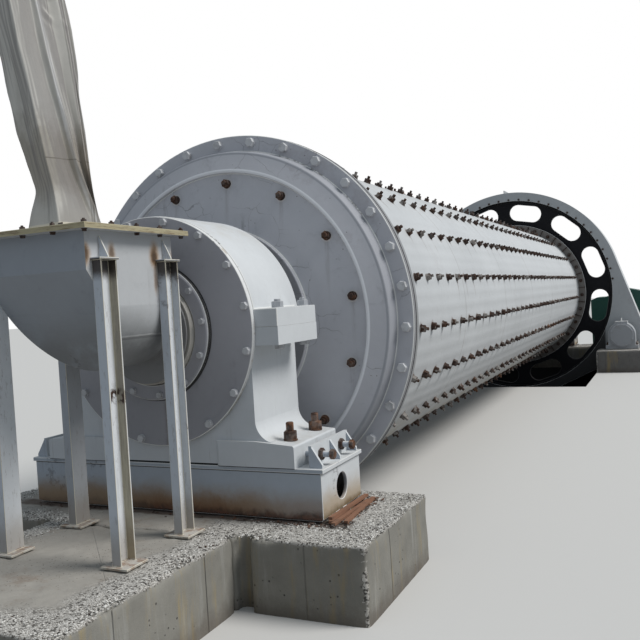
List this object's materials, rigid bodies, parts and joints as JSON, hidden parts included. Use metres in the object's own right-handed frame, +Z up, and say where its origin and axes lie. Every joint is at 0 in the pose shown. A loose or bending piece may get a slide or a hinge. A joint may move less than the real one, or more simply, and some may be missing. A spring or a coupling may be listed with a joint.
{
  "type": "ball mill",
  "caption": "Tube ball mill on two trunnion bearings and concrete piers, with a feed hopper, a girth gear under a guard, a pinion, a reducer and a motor.",
  "frame": {"origin": "centre line of the feed bearing, at the bottom face of its concrete pier", "axes": "+Y along the mill from the feed end to the drive end, +X towards the pinion, +Z up"},
  "size_m": [4.4348, 14.773, 3.593],
  "materials": {
    "mill_paint": "pale grey enamel with dirt streaks, satin",
    "head_paint": "mid grey enamel, satin",
    "bearing_paint": "pale grey enamel, satin",
    "cover_paint": "grey enamel, satin",
    "sole_paint": "worn pale grey paint with rust along the edges",
    "hopper_paint": "grey paint with cream edges and rust",
    "journal_steel": "turned steel, greased",
    "gear_paint": "black, greasy",
    "guard_paint": "grey paint, satin",
    "block_paint": "grey paint, satin",
    "drive_paint": "dark green enamel",
    "concrete": "rough cast concrete with bare aggregate on top",
    "canvas": "dusty woven canvas"
  },
  "bodies": {
    "mill_base": {"feed_pier": "concrete", "hopper_slab": "concrete", "feed_sole_box": "sole_paint", "feed_stops": "sole_paint", "feed_bearing_base": "bearing_paint", "feed_bearing_cap": "bearing_paint", "feed_bearing_cover": "cover_paint", "feed_seal_ring": "cover_paint", "hopper_body": "hopper_paint", "hopper_lid": "hopper_paint", "inlet_spout": "hopper_paint", "hopper_leg_1": "hopper_paint", "hopper_leg_2": "hopper_paint", "hopper_leg_3": "hopper_paint", "hopper_leg_4": "hopper_paint", "canvas_sleeve": "canvas", "sleeve_ring": "hopper_paint", "discharge_pier": "concrete", "discharge_sole_box": "sole_paint", "discharge_stops": "sole_paint", "discharge_bearing_base": "bearing_paint", "discharge_bearing_cap": "bearing_paint", "discharge_bearing_cover": "cover_paint", "discharge_seal_ring": "cover_paint", "guard_left": "guard_paint", "guard_right": "guard_paint", "pinion_pier": "concrete", "pinion_front_block": "block_paint", "pinion_front_cap": "block_paint", "pinion_rear_block": "block_paint", "drive_pier": "concrete", "speed_reducer": "drive_paint", "motor_coupling": "journal_steel", "drive_motor": "drive_paint"},
    "mill_drum": {"drum_shell": "mill_paint", "feed_head": "head_paint", "feed_trunnion": "journal_steel", "girth_gear_web": "gear_paint", "girth_gear_rim": "gear_paint", "discharge_head": "head_paint", "discharge_trunnion": "journal_steel"},
    "pinion_set": {"pinion": "gear_paint", "pinion_shaft": "journal_steel", "pinion_coupling": "journal_steel", "reducer_shaft": "journal_steel"}
  },
  "joints": [
    {"name": "drum_spin", "type": "hinge", "parent": "mill_base", "child": "mill_drum", "pos_m": [0, 0, 1.8], "axis": [0, 1, 0], "continuous": true},
    {"name": "pinion_spin", "type": "hinge", "parent": "mill_base", "child": "pinion_set", "pos_m": [1.72797, 10.021, 1.05939], "axis": [0, 1, 0], "continuous": true}
  ],
  "couplings": [
    {"joint": "pinion_spin", "follows": "drum_spin", "ratio": -7.9524}
  ]
}
